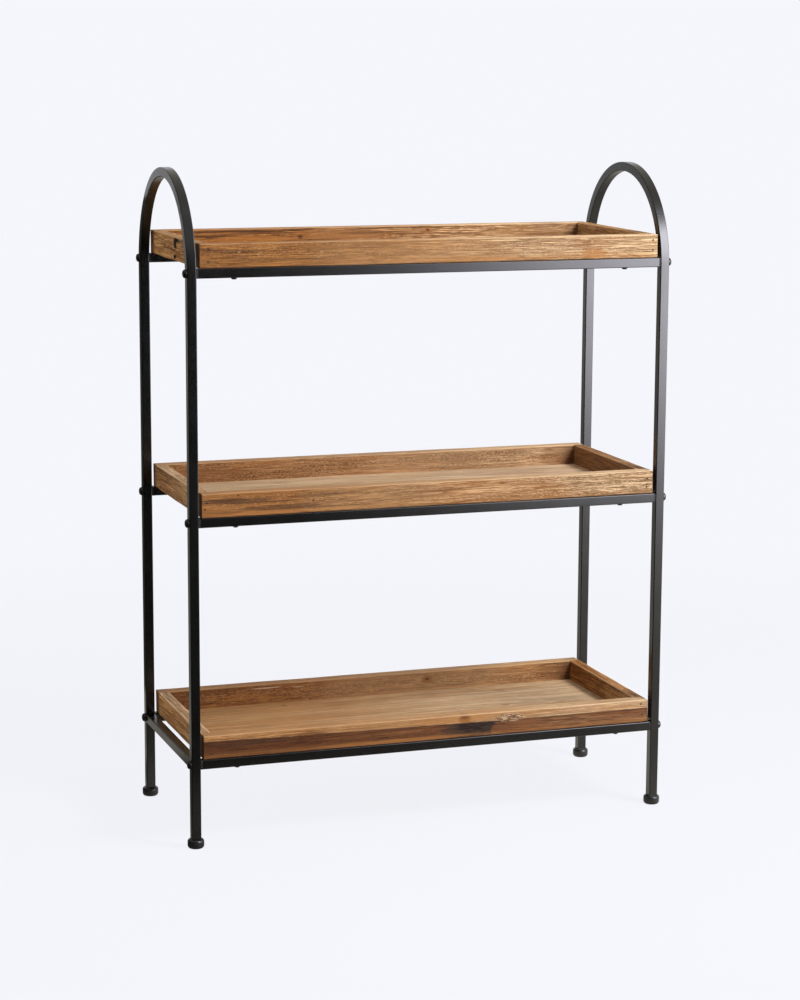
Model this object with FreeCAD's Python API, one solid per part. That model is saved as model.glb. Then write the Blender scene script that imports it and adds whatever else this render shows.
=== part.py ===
# Three-tier shelving unit: two arched side frames of square tube, six rails and three wooden trays.
# Millimetres. +Z is up, the front faces -Y, and the origin is on the floor under the middle of the unit.
# Left is -X and right is +X, as seen from the front.
import FreeCAD, Part
import math
import os

from FreeCAD import Vector

# Whole unit
unit_width = 700.0
unit_depth = 280.0
unit_height = 927.0

# Square steel tube of the side frames, crossbars and rails
tube_size = 13.0
tube_wall = 1.2
tube_corner_radius = 1.8

# Tiers, from the floor up, evenly spaced: the underside of the lowest rails,
# and how far the arches start above the underside of the top rails
lower_rail_height = 112.0
arch_start_rise = 1.0
tier_names = ("lower", "middle", "top")

# Frame bolts: dome heads with a hexagon socket, through the posts into the rail ends
bolt_radius = 3.0
bolt_head_radius = 6.0
bolt_head_height = 4.5
bolt_head_rim = 0.9
bolt_socket_across_flats = 4.0
bolt_socket_depth = 2.4
bolt_hole_play = 0.2
bolt_tip = 0.8

# Threaded plugs that close the rail ends
plug_flange = 2.5
plug_body_length = 12.0
plug_fit_play = 0.1
plug_thread_play = 0.05
plug_edge_round = 1.2
plug_grip_share = 0.85

# Trays
tray_end_gap = 4.5
tray_setback = 2.0
board_height = 33.0
side_board_thickness = 20.0
end_board_thickness = 15.0
board_edge_round = 1.0

# Bottom panels: a tongue all round sits up in the boards' rebate, and the field stands a little higher
panel_thickness = 4.0
panel_tongue_thickness = 3.0
panel_tongue_width = 6.0
panel_play = 0.2

# Corner nails of the trays
nail_radius = 0.8
nail_head_radius = 1.2
nail_head_height = 0.8
nail_sink = 0.3
nail_bite = 20.0
nail_tip = 2.5
wood_hole_play = 0.05

# Pins that hold the bottom panel up in its rebate
pin_radius = 0.7
pin_bite = 10.0
pin_tip = 1.5
pins_along_side = 5

# Screws through the rails into the trays
screw_radius = 2.0
screw_head_radius = 4.0
screw_head_height = 2.5
screw_head_rim = 0.5
screw_bite = 18.0
screw_tip = 4.0
screw_inset = 53.0
screw_hole_play = 0.25
screw_slot_width = 0.9
screw_slot_depth = 1.2

# Round foot caps pushed on to the posts
cap_radius = 11.6
cap_sole_radius = 9.0
cap_lip_radius = 8.9
cap_toe = 3.4
cap_shoulder = 3.5
cap_height = 12.6
cap_floor = 3.0
cap_play = 0.1

# How far a cutting tool runs past what it cuts
overrun = 1.0

# Nail places at each end of a front or back board, for the upper and the lower nail:
# share of the end board's thickness from the tray's end, and share of the board's height
nail_place_shares = {
    "top": (((0.80, 0.79), (0.78, 0.25)), ((0.50, 0.76), (0.50, 0.34))),
    "middle": (((0.48, 0.62), (0.32, 0.35)), ((0.55, 0.66), (0.64, 0.30))),
    "lower": (((0.70, 0.61), (0.76, 0.22)), ((0.72, 0.82), (0.60, 0.35))),
}

# A foot cap's toe and shoulder bulge through this point: share of the way in from the upright band's edge
# along the axis, and share of the way in from the band's radius
cap_bulge_shares = (0.55, 0.33)

# A screw head's recess: share of the head's radius that each arm of the cross reaches
screw_slot_reach_share = 0.62

# A dome head's flat crown, as a share of the head's radius
dome_crown_share = 0.45

X = Vector(1, 0, 0)
Y = Vector(0, 1, 0)
Z = Vector(0, 0, 1)

# Places that follow from the sizes above
post_x = (unit_width - tube_size) / 2
post_y = (unit_depth - tube_size) / 2
arch_centre_height = unit_height - unit_depth / 2
tier_pitch = (arch_centre_height - arch_start_rise - lower_rail_height) / (len(tier_names) - 1)
rail_half_length = unit_width / 2 - tube_size
tray_half_length = rail_half_length - tray_end_gap
tray_half_depth = unit_depth / 2 - tray_setback
tray_inner_half_length = tray_half_length - end_board_thickness
tray_inner_half_depth = tray_half_depth - side_board_thickness
rebate_half_length = tray_inner_half_length + panel_tongue_width
rebate_half_depth = tray_inner_half_depth + panel_tongue_width
screw_x = rail_half_length - screw_inset


def rail_height(tier):
    """Height of the underside of a tier's rails."""
    return lower_rail_height + tier_names.index(tier) * tier_pitch


def tray_height(tier):
    """Height of the underside of a tier's tray, which stands on the rails."""
    return rail_height(tier) + tube_size


def rounded_outline(centre, across, along, width, length, radius):
    """A closed rectangle with rounded corners, width along one direction and length along the other."""
    edges = []
    corners = []
    signs = ((1, 1), (-1, 1), (-1, -1), (1, -1))
    for turn, (side, end) in enumerate(signs):
        middle = centre + across * (side * (width / 2 - radius)) + along * (end * (length / 2 - radius))
        points = []
        for step in (0, 0.5, 1):
            angle = (turn + step) * math.pi / 2
            points.append(middle + across * (radius * math.cos(angle)) + along * (radius * math.sin(angle)))
        corners.append(points)
    for turn, points in enumerate(corners):
        following = corners[(turn + 1) % len(corners)]
        edges.append(Part.Arc(*points).toShape())
        edges.append(Part.LineSegment(points[-1], following[0]).toShape())
    return Part.Wire(edges)


def tube_section(centre, across, along):
    """The tube's cross-section: its outer outline less its bore."""
    outer = Part.Face(rounded_outline(centre, across, along, tube_size, tube_size, tube_corner_radius))
    bore_size = tube_size - 2 * tube_wall
    bore_radius = max(tube_corner_radius - tube_wall, tube_wall / 4)
    bore = Part.Face(rounded_outline(centre, across, along, bore_size, bore_size, bore_radius))
    return outer.cut(bore).Faces[0]


def turned(profile, origin, direction):
    """A solid turned about Z from a half profile in the XZ plane, then laid along a direction."""
    solid = Part.Face(profile).revolve(Vector(), Z, 360)
    solid.Placement = FreeCAD.Placement(origin, FreeCAD.Rotation(Z, direction))
    return solid


def fastener(origin, outward, head_radius, head_height, rim, crown_share, radius, length, tip):
    """A dome-headed fastener whose head seats at the origin and whose shank runs away from outward."""
    crown = crown_share * head_radius
    rise = head_height - rim
    shoulder = Vector(crown + (head_radius - crown) * math.sqrt(0.5), 0, rim + rise * math.sqrt(0.5))
    top = Vector(crown, 0, head_height)
    rim_top = Vector(head_radius, 0, rim)
    points = [
        Vector(0, 0, head_height),
        Vector(0, 0, -length),
        Vector(radius / 2, 0, -length),
        Vector(radius, 0, tip - length),
        Vector(radius, 0, 0),
        Vector(head_radius, 0, 0),
        rim_top,
    ]
    edges = [Part.LineSegment(a, b).toShape() for a, b in zip(points, points[1:])]
    edges.append(Part.Arc(rim_top, shoulder, top).toShape())
    edges.append(Part.LineSegment(top, points[0]).toShape())
    return turned(Part.Wire(edges), origin, outward)


def straight_pin(origin, outward, radius, length, tip):
    """A headless pin whose blunt end lies at the origin and whose point is away from outward."""
    points = [
        Vector(),
        Vector(radius, 0, 0),
        Vector(radius, 0, tip - length),
        Vector(radius / 4, 0, -length),
        Vector(0, 0, -length),
        Vector(),
    ]
    edges = [Part.LineSegment(a, b).toShape() for a, b in zip(points, points[1:])]
    return turned(Part.Wire(edges), origin, outward)


def bore(origin, outward, radius, depth):
    """A tool for a round hole from just outside the origin to a depth under it."""
    return Part.makeCylinder(radius, depth + overrun, origin + outward * overrun, -outward)


def block(half_length, half_depth, low, high):
    """A plate centred on the Z axis, between two heights."""
    corner = Vector(-half_length, -half_depth, low)
    return Part.makeBox(2 * half_length, 2 * half_depth, high - low, corner)


def eased_board(low, high, plain_ends):
    """A board between two corners, with its edges eased: all of them, or only the long ones along Y."""
    size = high - low
    board = Part.makeBox(size.x, size.y, size.z, low)
    edges = board.Edges
    if plain_ends:
        edges = [edge for edge in edges if edge.BoundBox.YLength > size.y / 2]
    return board.makeFillet(min(board_edge_round, min(size.x, size.y, size.z) / 4), edges)


def side_frame(side):
    """One bent tube: two posts joined by a half-round arch, drilled for the frame bolts."""
    foot = Vector(side * post_x, -post_y, cap_floor)
    leg_length = arch_centre_height - cap_floor
    front_post = tube_section(foot, X, Y).extrude(Z * leg_length)
    back_post = tube_section(foot + Y * (2 * post_y), X, Y).extrude(Z * leg_length)
    bend_start = tube_section(foot + Z * leg_length, X, Y)
    arch = bend_start.revolve(Vector(side * post_x, 0, arch_centre_height), X, -180)
    frame = front_post.fuse([arch, back_post])
    holes = []
    for tier in tier_names:
        for face in (-1, 1):
            mouth = bolt_seat(side, face, tier)
            holes.append(bore(mouth, X * side, bolt_radius + bolt_hole_play, tube_size + overrun))
    return frame.cut(holes)


def crossbar(side):
    """The straight tube welded between the two posts of a side frame, level with the lower rails."""
    start = Vector(side * post_x, tube_size / 2 - post_y, lower_rail_height + tube_size / 2)
    return tube_section(start, X, Z).extrude(Y * (2 * post_y - tube_size))


def rail(face, tier):
    """One long tube between the side frames, drilled for its two tray screws."""
    start = rail_end(-1, face, tier) + X * plug_flange
    tube = tube_section(start, Y, Z).extrude(X * (2 * (rail_half_length - plug_flange)))
    holes = []
    for side in (-1, 1):
        seat = screw_seat(side, face, tier)
        holes.append(bore(seat, -Z, screw_radius + screw_hole_play, tube_size + overrun))
    return tube.cut(holes)


def rail_end(side, face, tier):
    """The middle of a rail's end, on the inner face of the post that it meets."""
    return Vector(side * rail_half_length, face * post_y, rail_height(tier) + tube_size / 2)


def bolt_seat(side, face, tier):
    """The middle of a frame bolt's seat, on the outer face of the post."""
    return rail_end(side, face, tier) + X * (side * tube_size)


def screw_seat(side, face, tier):
    """The middle of a tray screw's seat, on the underside of the rail."""
    return Vector(side * screw_x, face * post_y, rail_height(tier))


def rail_plug(side, face, tier):
    """The threaded plug in one rail end, with a rounded flange that closes the tube."""
    end = rail_end(side, face, tier)
    inward = X * -side
    flange_face = Part.Face(rounded_outline(end, Y, Z, tube_size, tube_size, tube_corner_radius))
    flange = flange_face.extrude(inward * plug_flange)
    rim_edges = [edge for edge in flange.Edges if abs(edge.BoundBox.XLength) < plug_flange / 2
                 and abs(edge.CenterOfMass.x - end.x) < plug_flange / 2]
    flange = flange.makeFillet(min(plug_edge_round, plug_flange / 2), rim_edges)
    body_size = tube_size - 2 * (tube_wall + plug_fit_play)
    body_radius = max(tube_corner_radius - tube_wall, tube_wall / 4) + plug_fit_play
    body_start = end + inward * plug_flange
    body_face = Part.Face(rounded_outline(body_start, Y, Z, body_size, body_size, body_radius))
    body = body_face.extrude(inward * plug_body_length)
    thread = bore(end, -inward, bolt_radius + plug_thread_play, plug_flange + plug_body_length + overrun)
    return flange.fuse(body).cut(thread)


def frame_bolt(side, face, tier):
    """One bolt through a post into the plug of the rail behind it."""
    seat = bolt_seat(side, face, tier)
    outward = X * side
    shank = tube_size + plug_grip_share * (plug_flange + plug_body_length)
    bolt = fastener(seat, outward, bolt_head_radius, bolt_head_height, bolt_head_rim, dome_crown_share,
                    bolt_radius, shank, bolt_tip)
    mouth = seat + outward * (bolt_head_height - bolt_socket_depth)
    corner = bolt_socket_across_flats / math.sqrt(3)
    points = []
    for turn in range(7):
        angle = turn * math.pi / 3
        points.append(mouth + Y * (corner * math.cos(angle)) + Z * (corner * math.sin(angle)))
    socket = Part.Face(Part.makePolygon(points)).extrude(outward * (bolt_socket_depth + overrun))
    return bolt.cut(socket)


def tray_screw(side, face, tier):
    """One screw up through a rail into the tray board above it, with a cross recess."""
    seat = screw_seat(side, face, tier)
    screw = fastener(seat, -Z, screw_head_radius, screw_head_height, screw_head_rim, dome_crown_share,
                     screw_radius, tube_size + screw_bite, screw_tip)
    arm = screw_slot_reach_share * screw_head_radius
    floor = seat - Z * (screw_head_height - screw_slot_depth)
    for width, length in ((screw_slot_width, 2 * arm), (2 * arm, screw_slot_width)):
        corner = floor - Vector(width / 2, length / 2, screw_slot_depth + overrun)
        screw = screw.cut(Part.makeBox(width, length, screw_slot_depth + overrun, corner))
    return screw


def nail_seats(tier):
    """The places on a tray's front and back where its corner nails go in, with the outward direction."""
    seats = []
    for face in (-1, 1):
        for side, places in zip((-1, 1), nail_place_shares[tier]):
            for inset_share, height_share in places:
                x = side * (tray_half_length - inset_share * end_board_thickness)
                z = tray_height(tier) + height_share * board_height
                seats.append((Vector(x, face * (tray_half_depth - nail_sink), z), Y * face))
    return seats


def nail(seat, outward):
    """One corner nail, its flat head sunk just under the board's face."""
    head_seat = seat - outward * nail_head_height
    length = side_board_thickness - nail_sink - nail_head_height + nail_bite
    head = Part.makeCylinder(nail_head_radius, nail_head_height, head_seat, outward)
    shank = straight_pin(head_seat, outward, nail_radius, length, nail_tip)
    return head.fuse(shank).removeSplitter()


def nail_holes(tier):
    """The holes that the corner nails leave in the boards."""
    holes = []
    for seat, outward in nail_seats(tier):
        depth = nail_sink + nail_head_height
        mouth = seat + outward * nail_sink
        holes.append(bore(mouth, outward, nail_head_radius + wood_hole_play, depth))
        holes.append(bore(mouth, outward, nail_radius + wood_hole_play, side_board_thickness + nail_bite))
    return holes


def pin_seats(tier):
    """The places under the bottom panel where its pins go in, along all four boards."""
    z = tray_height(tier)
    side_y = tray_inner_half_depth + panel_tongue_width / 2
    end_x = tray_inner_half_length + panel_tongue_width / 2
    seats = []
    for step in range(pins_along_side):
        x = tray_inner_half_length * (2 * (step + 0.5) / pins_along_side - 1)
        for face in (-1, 1):
            seats.append(Vector(x, face * side_y, z))
    for side in (-1, 1):
        for face in (-1, 1):
            seats.append(Vector(side * end_x, face * tray_inner_half_depth / 2, z))
    return seats


def pin_holes(tier):
    """The holes of the panel pins, through the panel's tongue and up into the boards."""
    depth = panel_tongue_thickness + pin_bite
    return [bore(seat, -Z, pin_radius + wood_hole_play, depth) for seat in pin_seats(tier)]


def screw_holes(tier):
    """The pilot holes of the tray screws, from the underside of the boards up."""
    holes = []
    for side in (-1, 1):
        for face in (-1, 1):
            mouth = screw_seat(side, face, tier) + Z * tube_size
            holes.append(bore(mouth, -Z, screw_radius + wood_hole_play, screw_bite))
    return holes


def panel_rebate(tier):
    """The rebate round the inside of the boards that the panel's tongue sits up into."""
    z = tray_height(tier)
    return block(rebate_half_length, rebate_half_depth, z - overrun, z + panel_tongue_thickness)


def tray_boards(tier):
    """The four boards of a tray, its end boards butted between the others, cut for all that joins them."""
    z = tray_height(tier)
    top = z + board_height
    boards = {}
    for face, name in ((-1, "front_board"), (1, "back_board")):
        near = min(face * tray_inner_half_depth, face * tray_half_depth)
        low = Vector(-tray_half_length, near, z)
        high = Vector(tray_half_length, near + side_board_thickness, top)
        boards[name] = eased_board(low, high, False)
    for side, name in ((-1, "left_end_board"), (1, "right_end_board")):
        near = min(side * tray_inner_half_length, side * tray_half_length)
        low = Vector(near, -tray_inner_half_depth, z)
        high = Vector(near + end_board_thickness, tray_inner_half_depth, top)
        boards[name] = eased_board(low, high, True)
    cuts = [panel_rebate(tier)] + nail_holes(tier) + pin_holes(tier) + screw_holes(tier)
    return {name: board.cut(cuts) for name, board in boards.items()}


def bottom_panel(tier):
    """The thin panel that closes the tray from below, flush with the underside of the boards."""
    z = tray_height(tier)
    tongue_top = z + panel_tongue_thickness
    field_top = z + panel_thickness
    tongue = block(rebate_half_length - panel_play, rebate_half_depth - panel_play, z, tongue_top)
    field = block(tray_inner_half_length - panel_play, tray_inner_half_depth - panel_play, z, field_top)
    return tongue.fuse(field).removeSplitter().cut(pin_holes(tier))


def foot_cap(side, face):
    """A round cap pushed on to a post's foot: rounded toe, upright band, shoulder and square socket."""
    along, inward = cap_bulge_shares
    band_low = cap_toe
    band_high = cap_height - cap_shoulder
    toe_point = Vector(cap_radius - inward * (cap_radius - cap_sole_radius), 0, band_low - along * cap_toe)
    lip_point = Vector(cap_radius - inward * (cap_radius - cap_lip_radius), 0,
                       band_high + along * cap_shoulder)
    sole_edge = Vector(cap_sole_radius, 0, 0)
    band_start = Vector(cap_radius, 0, band_low)
    band_end = Vector(cap_radius, 0, band_high)
    lip_edge = Vector(cap_lip_radius, 0, cap_height)
    outline = [
        Part.LineSegment(Vector(), sole_edge).toShape(),
        Part.Arc(sole_edge, toe_point, band_start).toShape(),
        Part.LineSegment(band_start, band_end).toShape(),
        Part.Arc(band_end, lip_point, lip_edge).toShape(),
        Part.LineSegment(lip_edge, Z * cap_height).toShape(),
        Part.LineSegment(Z * cap_height, Vector()).toShape(),
    ]
    cap = turned(Part.Wire(outline), Vector(side * post_x, face * post_y, 0), Z)
    mouth_size = tube_size + 2 * cap_play
    socket_floor = Vector(side * post_x, face * post_y, cap_floor)
    mouth_radius = tube_corner_radius + cap_play
    socket = Part.Face(rounded_outline(socket_floor, X, Y, mouth_size, mouth_size, mouth_radius))
    return cap.cut(socket.extrude(Z * (cap_height - cap_floor + overrun)))


def write_node(name, *solids):
    """Writes one node as a STEP file: one solid, or a group of like solids."""
    shape = solids[0] if len(solids) == 1 else Part.makeCompound(list(solids))
    for solid in shape.Solids:
        if not solid.isValid() or solid.Volume <= 0:
            raise ValueError("bad solid in " + name)
    if len(shape.Solids) != len(solids):
        raise ValueError("wrong number of solids in " + name)
    shape.exportStep("parts/" + name + ".step")
    print(name, len(shape.Solids), round(shape.Volume))


def write_frame():
    """Side frames, crossbars, rails, rail plugs, frame bolts and foot caps."""
    corners = [(side, face) for side in (-1, 1) for face in (-1, 1)]
    side_names = {-1: "left", 1: "right"}
    face_names = {-1: "front", 1: "back"}
    for side in (-1, 1):
        write_node(side_names[side] + "_side_frame", side_frame(side))
        write_node(side_names[side] + "_crossbar", crossbar(side))
    for tier in tier_names:
        for face in (-1, 1):
            write_node(tier + "_" + face_names[face] + "_rail", rail(face, tier))
        write_node(tier + "_rail_plugs", *[rail_plug(side, face, tier) for side, face in corners])
        write_node(tier + "_frame_bolts", *[frame_bolt(side, face, tier) for side, face in corners])
    for side, face in corners:
        write_node(side_names[side] + "_" + face_names[face] + "_foot_cap", foot_cap(side, face))


def write_tray(tier):
    """One tray with its panel, nails, pins and the screws that hold it down."""
    for name, board in tray_boards(tier).items():
        write_node(tier + "_tray_" + name, board)
    write_node(tier + "_tray_bottom_panel", bottom_panel(tier))
    write_node(tier + "_tray_corner_nails", *[nail(seat, outward) for seat, outward in nail_seats(tier)])
    length = panel_tongue_thickness + pin_bite
    pins = [straight_pin(seat, -Z, pin_radius, length, pin_tip) for seat in pin_seats(tier)]
    write_node(tier + "_tray_panel_pins", *pins)
    screws = [tray_screw(side, face, tier) for side in (-1, 1) for face in (-1, 1)]
    write_node(tier + "_tray_screws", *screws)


os.makedirs("parts", exist_ok=True)
write_frame()
for tier_name in tier_names:
    write_tray(tier_name)
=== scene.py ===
import math
from functools import cached_property
from typing import NamedTuple

import bmesh
import bpy
from bpy.props import FloatProperty, FloatVectorProperty, IntProperty, PointerProperty
from mathutils import Matrix, Vector, noise


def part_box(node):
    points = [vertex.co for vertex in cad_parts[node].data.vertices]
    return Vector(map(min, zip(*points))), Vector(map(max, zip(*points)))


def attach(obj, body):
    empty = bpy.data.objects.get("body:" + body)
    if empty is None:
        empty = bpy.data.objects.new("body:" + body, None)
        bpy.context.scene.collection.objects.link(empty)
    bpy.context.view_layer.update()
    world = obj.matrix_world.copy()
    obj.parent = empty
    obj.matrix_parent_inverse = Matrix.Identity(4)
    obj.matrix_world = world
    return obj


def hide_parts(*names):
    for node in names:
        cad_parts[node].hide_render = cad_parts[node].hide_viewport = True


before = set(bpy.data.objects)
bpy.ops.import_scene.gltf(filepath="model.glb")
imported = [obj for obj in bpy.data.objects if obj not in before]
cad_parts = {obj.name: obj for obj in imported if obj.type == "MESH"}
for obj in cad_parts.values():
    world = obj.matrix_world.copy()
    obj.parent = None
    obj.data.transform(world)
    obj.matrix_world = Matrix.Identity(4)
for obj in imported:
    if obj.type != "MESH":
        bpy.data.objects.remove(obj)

bl_info = {
    "name": "Three-tier shelving unit",
    "version": (1, 0, 0),
    "blender": (4, 5, 0),
    "location": "3D View > Sidebar > Shelving",
    "description": "Finishes an open shelving unit of black tube with rustic wooden trays",
    "category": "Object",
}

X, Y, Z = Vector((1, 0, 0)), Vector((0, 1, 0)), Vector((0, 0, 1))
SIDES = {"left": -1, "right": 1}
FACES = {"front": -1, "back": 1}
TIERS = ("lower", "middle", "top")

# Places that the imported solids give
tube_low, tube_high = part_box("left_side_frame")
TUBE = tube_high.x - tube_low.x
POST_Y = tube_high.y - TUBE / 2
POST_X = -tube_low.x - TUBE / 2
ARCH_CENTRE = tube_high.z - tube_high.y


# Sizes and colours

def length(name, default, description):
    """A length that the sidebar shows in the scene's units."""
    return FloatProperty(name=name, default=default, description=description, unit="LENGTH", precision=5)


def colour(name, default, description):
    """A colour that the sidebar shows as a swatch."""
    return FloatVectorProperty(name=name, default=default, description=description, subtype="COLOR",
                               size=3, min=0, max=1)


class ShelvingSizes(bpy.types.PropertyGroup):
    """Sizes that the solids leave open."""
    corner_radius: length("Tube corner", 0.0011, "Rounding of the square tube's long edges")
    flange_round: length("Flange edge", 0.0008, "Rounding of the plates at the rail ends")
    head_rim: length("Bolt rim", 0.0009, "Upright edge under a bolt's dome")
    socket_flats: length("Bolt socket", 0.004, "Hexagon socket in a bolt, across its flats")
    socket_depth: length("Bolt socket depth", 0.0024, "Depth of the hexagon socket")
    cap_toe: length("Cap toe", 0.0044, "Height of a foot cap's rounded toe")
    cap_shoulder: length("Cap shoulder", 0.0035, "Height of a foot cap's sloping shoulder")
    edge_wander: length("Board wander", 0.00035, "How far a board's faces wander from flat")
    arch_steps: IntProperty(name="Arch steps", default=64, min=16,
                            description="Steps round a side frame's arch")


class ShelvingColours(bpy.types.PropertyGroup):
    """The colours of the finishes."""
    black_coat: colour("Black coat", (0.0035, 0.0034, 0.0030), "Satin black of the tubes")
    cap_black: colour("Cap black", (0.008, 0.008, 0.008), "Moulded black of the foot caps")
    dark_steel: colour("Dark steel", (0.012, 0.010, 0.009), "Nails and pins")
    honey: colour("Honey wood", (0.33, 0.132, 0.030), "Warm brown wood")
    chestnut: colour("Chestnut wood", (0.36, 0.165, 0.058), "Brown wood of the inner faces")
    caramel: colour("Caramel wood", (0.44, 0.205, 0.064), "Orange brown wood of the lighter boards")
    tan: colour("Tan wood", (0.48, 0.258, 0.106), "Plain brown wood")
    ginger: colour("Ginger wood", (0.61, 0.30, 0.105), "Orange wood of the end boards' outer faces")
    peach: colour("Peach wood", (0.57, 0.365, 0.195), "Light planed wood")
    straw: colour("Straw wood", (0.66, 0.470, 0.285), "Pale smooth wood of the bottom panels")
    # Russet also paints shade in the trays' back corners.
    russet: colour("Russet wood", (0.20, 0.075, 0.024), "Reddish brown wood, and the ring round a knot")
    amber: colour("Amber wood", (0.46, 0.185, 0.045), "Orange streaks")
    # Pale also lightens the boards' upper edges: partly wear, partly a painted highlight.
    pale: colour("Pale fibre", (0.72, 0.520, 0.340), "Torn fibre and worn edges")
    # Umber also paints shade: in the back corners, along the boards' feet and over the middle tray's right
    # end board.
    umber: colour("Umber", (0.060, 0.028, 0.014), "Knots, cracks and stains")
    soot: colour("Soot", (0.030, 0.020, 0.015), "Scorched wood")
    # Char also paints the shade deep inside a hole and cracks.
    char: colour("Char", (0.010, 0.006, 0.004), "Burnt wood, and the depth of cracks")
    backdrop: colour("Backdrop", (0.913, 0.921, 0.970), "Floor and backdrop")


def sizes():
    """The sizes as the sidebar has them."""
    return bpy.context.scene.shelving_sizes


def colours():
    """The colours as the sidebar has them."""
    return bpy.context.scene.shelving_colours


# Finishes

class Value:
    """A shader socket, on which Python's operators build Math nodes."""

    def __init__(self, finish, socket):
        self.finish = finish
        self.socket = socket

    def maths(self, operation, *values):
        """Adds one Math node."""
        return self.finish.node("ShaderNodeMath", {"operation": operation}, dict(enumerate(values)))

    def __add__(self, other):
        return self.maths("ADD", self, other)

    def __sub__(self, other):
        return self.maths("SUBTRACT", self, other)

    def __rsub__(self, other):
        return self.maths("SUBTRACT", other, self)

    def __mul__(self, other):
        return self.maths("MULTIPLY", self, other)

    def __truediv__(self, other):
        return self.maths("DIVIDE", self, other)

    def __rtruediv__(self, other):
        return self.maths("DIVIDE", other, self)

    def __pow__(self, other):
        return self.maths("POWER", self, other)

    def __abs__(self):
        return self.maths("ABSOLUTE", self)

    def __neg__(self):
        return self.maths("MULTIPLY", self, -1)

    __radd__ = __add__
    __rmul__ = __mul__

    def most(self, other):
        """The larger of two values."""
        return self.maths("MAXIMUM", self, other)

    def fraction(self):
        """What is left of a value without its whole number."""
        return self.maths("FRACT", self)


def distance(first, second):
    """How far a point lies from the origin of its two coordinates."""
    return (first * first + second * second) ** 0.5


class Finish:
    """The nodes of one material, or of the world."""

    def __init__(self, owner):
        self.owner = owner
        owner.use_nodes = True
        self.tree = owner.node_tree
        self.tree.nodes.clear()

    @cached_property
    def place(self):
        """Where a point lies on its object, in the shared frame."""
        return self.node("ShaderNodeTexCoord", output="Object")

    def node(self, kind, settings=None, inputs=None, output=0):
        """Adds a node: its settings are made first, then each input gets a value or a link."""
        made = self.tree.nodes.new(kind)
        for key, value in (settings or {}).items():
            setattr(made, key, value)
        for key, value in (inputs or {}).items():
            socket = made.inputs[key]
            if isinstance(value, Value):
                self.tree.links.new(value.socket, socket)
            elif socket.type == "RGBA":
                socket.default_value = (*value, 1)
            else:
                socket.default_value = value
        return Value(self, made.outputs[output]) if made.outputs else None

    def local(self, centre, turn=0.0):
        """Coordinates about a piece's centre, turned so that its grain runs along X."""
        moved = self.node("ShaderNodeVectorMath", {"operation": "SUBTRACT"}, {0: self.place, 1: centre})
        if turn:
            moved = self.node("ShaderNodeMapping", {"vector_type": "POINT"},
                              {"Vector": moved, "Rotation": (0, 0, turn)})
        return moved

    def stretched(self, place, scale, shift=(0, 0, 0)):
        """Coordinates scaled per axis, for a pattern drawn out along the grain."""
        return self.node("ShaderNodeVectorMath", {"operation": "MULTIPLY_ADD"},
                         {0: place, 1: scale, 2: shift})

    def noise(self, place, scale=1.0, detail=2.0, rough=0.5, warp=0.0, output=0):
        """A cloudy pattern that averages a half."""
        return self.node("ShaderNodeTexNoise", {"noise_dimensions": "3D"},
                         {"Vector": place, "Scale": scale, "Detail": detail, "Roughness": rough,
                          "Distortion": warp}, output)

    def between(self, value, low, high, to_low=0.0, to_high=1.0):
        """A smooth step from one level to another."""
        return self.node("ShaderNodeMapRange", {"interpolation_type": "SMOOTHSTEP", "clamp": True},
                         {"Value": value, "From Min": low, "From Max": high,
                          "To Min": to_low, "To Max": to_high})

    def tint(self, factor, first, second, blend="MIX"):
        """Mixes two colours."""
        return self.node("ShaderNodeMix", {"data_type": "RGBA", "blend_type": blend, "clamp_factor": True},
                         {0: factor, 6: first, 7: second}, output=2)

    def parts(self, vector):
        """The three parts of a vector or a colour."""
        split = self.node("ShaderNodeSeparateXYZ", None, {0: vector}, "X")
        outputs = split.socket.node.outputs
        return [Value(self, outputs[axis]) for axis in "XYZ"]

    def bump(self, height, depth, strength):
        """A relief as deep as a height of one says."""
        return self.node("ShaderNodeBump", None, {"Height": height, "Distance": depth, "Strength": strength})

    def surface(self, **inputs):
        """Closes a material with one Principled shader, and returns it."""
        shader = self.node("ShaderNodeBsdfPrincipled", None,
                           {key.replace("_", " "): value for key, value in inputs.items()})
        self.node("ShaderNodeOutputMaterial", None, {"Surface": shader})
        return self.owner


def times(tint, share):
    """A colour made darker or lighter."""
    return [channel * share for channel in tint]


# How rough the black coat is on each kind of piece
COAT_ROUGHNESS = {"tube": 0.20, "crossbar": 0.24, "rail": 0.19, "plate": 0.66, "bolt": 0.36, "screw": 0.26}


def black_coat_finish(slot, kind):
    """Satin black powder coat: a fine orange peel, soft patches and a few lighter specks."""
    finish = Finish(bpy.data.materials.new(slot + "_" + kind))
    tint = colours().black_coat
    peel = finish.noise(finish.place, 900, 3, 0.55)
    patches = finish.noise(finish.place, 22, 4, 0.6)
    specks = finish.between(finish.noise(finish.place, 2600, 1), 0.68, 0.76)
    shade = finish.tint(patches, times(tint, 0.8), times(tint, 1.25))
    shade = finish.tint(specks * 0.5, shade, times(tint, 2.6))
    gloss = COAT_ROUGHNESS[kind] - 0.05 + patches * 0.10 + peel * 0.03
    return finish.surface(Base_Color=shade, Roughness=gloss, IOR=1.55, Normal=finish.bump(peel, 0.00002, 0.6))


def cap_finish(name):
    """Moulded black plastic: a soft grain and light rubbing."""
    finish = Finish(bpy.data.materials.new(name))
    tint = colours().cap_black
    grain = finish.noise(finish.place, 1500, 2, 0.5)
    rubbed = finish.between(finish.noise(finish.place, 60, 4, 0.65), 0.5, 0.75)
    shade = finish.tint(rubbed * 0.6, tint, times(tint, 2.4))
    return finish.surface(Base_Color=shade, Roughness=0.35 + rubbed * 0.14,
                          Normal=finish.bump(grain, 0.00003, 0.5))


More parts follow.
